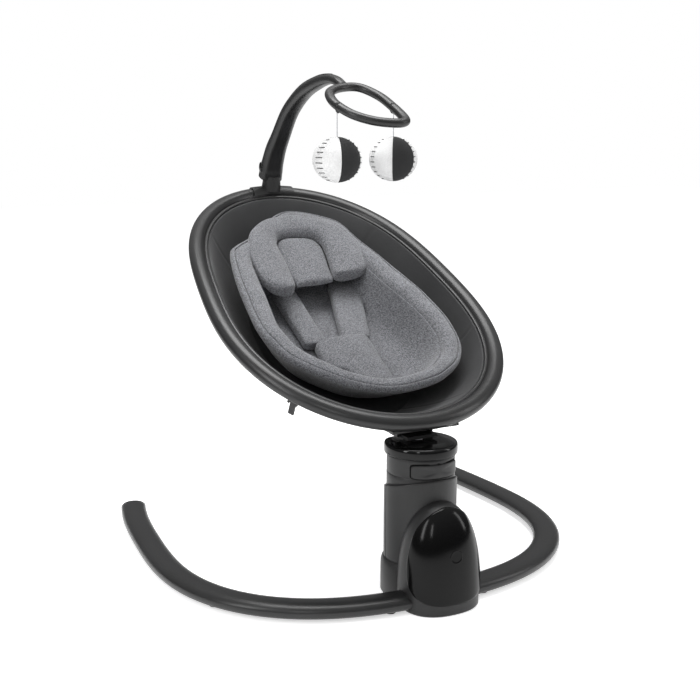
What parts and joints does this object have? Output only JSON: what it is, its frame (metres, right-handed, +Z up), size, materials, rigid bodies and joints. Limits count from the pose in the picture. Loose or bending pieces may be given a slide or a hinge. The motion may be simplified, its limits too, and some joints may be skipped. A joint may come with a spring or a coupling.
{
  "type": "baby swing",
  "caption": "Infant swing: tilted oval seat ring with fabric sling and padded insert on a slim drive column, curved floor tube, and an overhead arm with hanging soft balls.",
  "frame": {"origin": "on the floor, under the middle of the drive tower", "axes": "+Z up, +Y from the tower towards the seat's head end, +X to the seat occupant's left"},
  "size_m": [0.7736, 0.7544, 0.8531],
  "materials": {
    "frame_tube": "satin",
    "dark_plastic": "satin",
    "pad_rubber": "matte",
    "panel_gloss": "polished",
    "indicator": "gloss",
    "board": "satin",
    "steel": "satin",
    "coil_wire": "satin",
    "ring_plastic": "satin",
    "sling_fabric": "matte",
    "insert_fabric": "matte",
    "webbing": "matte",
    "buckle_red": "satin",
    "arm_plastic": "satin",
    "toy_string": "matte",
    "toy_fabric": "matte"
  },
  "bodies": {
    "base": {"base_tube_left": "frame_tube", "base_tube_right": "frame_tube", "end_cap_left": "dark_plastic", "end_cap_right": "dark_plastic", "base_feet": "pad_rubber", "foot_housing": "dark_plastic", "foot_plate": "dark_plastic", "column_front_shell": "dark_plastic", "column_rear_shell": "dark_plastic", "upper_collar": "dark_plastic", "top_cap": "panel_gloss", "control_panel": "panel_gloss", "indicator_lens": "indicator", "control_board": "board", "upper_bearing": "steel", "lower_bearing": "steel", "upper_bearing_web": "dark_plastic", "lower_bearing_web": "dark_plastic", "drive_coil": "coil_wire", "dc_inlet": "dark_plastic"},
    "power_button": {"power_button": "panel_gloss"},
    "release_tab": {"release_tab": "dark_plastic"},
    "sway_head": {"sway_post": "steel", "swing_lever": "dark_plastic", "drive_magnet": "steel", "seat_mount": "dark_plastic"},
    "seat": {"recline_pin": "steel", "seat_saddle": "dark_plastic", "ring_upper_shell": "ring_plastic", "ring_lower_shell": "ring_plastic", "ring_lip": "ring_plastic", "fabric_sling": "sling_fabric", "seat_insert": "insert_fabric", "head_support": "insert_fabric", "head_pad": "insert_fabric", "shoulder_pad_left": "insert_fabric", "shoulder_pad_right": "insert_fabric", "waist_pad": "insert_fabric", "harness_webbing": "webbing", "buckle_housing": "dark_plastic", "arm_clamp": "dark_plastic", "lever_bracket": "dark_plastic", "lever_pin": "dark_plastic"},
    "buckle_button": {"buckle_button": "buckle_red"},
    "toy_arm": {"toy_arm": "arm_plastic", "toy_loop": "arm_plastic"},
    "arm_button": {"arm_button": "arm_plastic"},
    "left_toy": {"toy_string_left": "toy_string", "toy_ball_left": "toy_fabric"},
    "right_toy": {"toy_string_right": "toy_string", "toy_ball_right": "toy_fabric"},
    "recline_lever": {"recline_lever": "dark_plastic"}
  },
  "joints": [
    {"name": "power_press", "type": "slide", "parent": "base", "child": "power_button", "axis": [0, 1, 0], "range_m": [0, 0.0012], "stiffness_N_per_m": 400},
    {"name": "release_press", "type": "slide", "parent": "base", "child": "release_tab", "axis": [0, 1, 0], "range_m": [0, 0.002], "stiffness_N_per_m": 400},
    {"name": "seat_sway", "type": "hinge", "parent": "base", "child": "sway_head", "pos_m": [0, 0.008, 0.262], "axis": [0, 0.1392, 0.9903], "range_deg": [-12, 12]},
    {"name": "seat_recline", "type": "hinge", "parent": "sway_head", "child": "seat", "pos_m": [0, 0.026, 0.27], "axis": [1, 0, 0], "range_deg": [-6, 10]},
    {"name": "buckle_press", "type": "slide", "parent": "seat", "child": "buckle_button", "axis": [0, 0.4602, -0.8878], "range_m": [0, 0.002], "stiffness_N_per_m": 300},
    {"name": "arm_lift_off", "type": "slide", "parent": "seat", "child": "toy_arm", "axis": [0, -0.2079, 0.9781], "range_m": [0, 0.03]},
    {"name": "arm_button_press", "type": "slide", "parent": "toy_arm", "child": "arm_button", "axis": [1, 0, 0], "range_m": [0, 0.0015], "stiffness_N_per_m": 300},
    {"name": "left_toy_swing", "type": "hinge", "parent": "toy_arm", "child": "left_toy", "pos_m": [-0.054, 0.192, 0.7811], "axis": [1, 0, 0], "range_deg": [-30, 30]},
    {"name": "right_toy_swing", "type": "hinge", "parent": "toy_arm", "child": "right_toy", "pos_m": [0.054, 0.192, 0.7811], "axis": [1, 0, 0], "range_deg": [-30, 30]},
    {"name": "recline_squeeze", "type": "hinge", "parent": "seat", "child": "recline_lever", "pos_m": [-0.19088, 0.07479, 0.32568], "axis": [-0.5868, 0.7189, 0.3726], "range_deg": [-12, 0], "stiffness_Nm_per_rad": 0.15}
  ]
}
